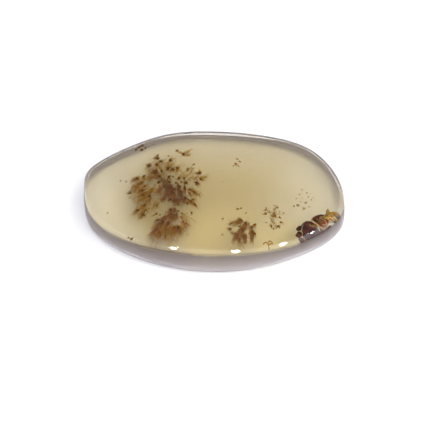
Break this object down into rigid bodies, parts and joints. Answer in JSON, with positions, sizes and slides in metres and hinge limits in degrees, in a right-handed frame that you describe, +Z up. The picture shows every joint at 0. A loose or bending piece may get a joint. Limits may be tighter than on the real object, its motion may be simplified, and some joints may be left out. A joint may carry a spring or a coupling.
{
  "type": "dendritic agate cabochon",
  "caption": "Low oval tablet of polished translucent chalcedony with brown moss-like dendrites inside and a flat back to rest on.",
  "frame": {"origin": "middle of the flat back, which the stone rests on", "axes": "+X along the stone's length towards its round end, +Y across its width towards its fuller side, +Z up out of the polished face"},
  "size_m": [0.0364, 0.022, 0.0047],
  "materials": {
    "agate": "polished translucent honey-grey chalcedony with brown dendrites"
  },
  "bodies": {
    "root": {"dendritic_agate": "agate"}
  },
  "joints": []
}
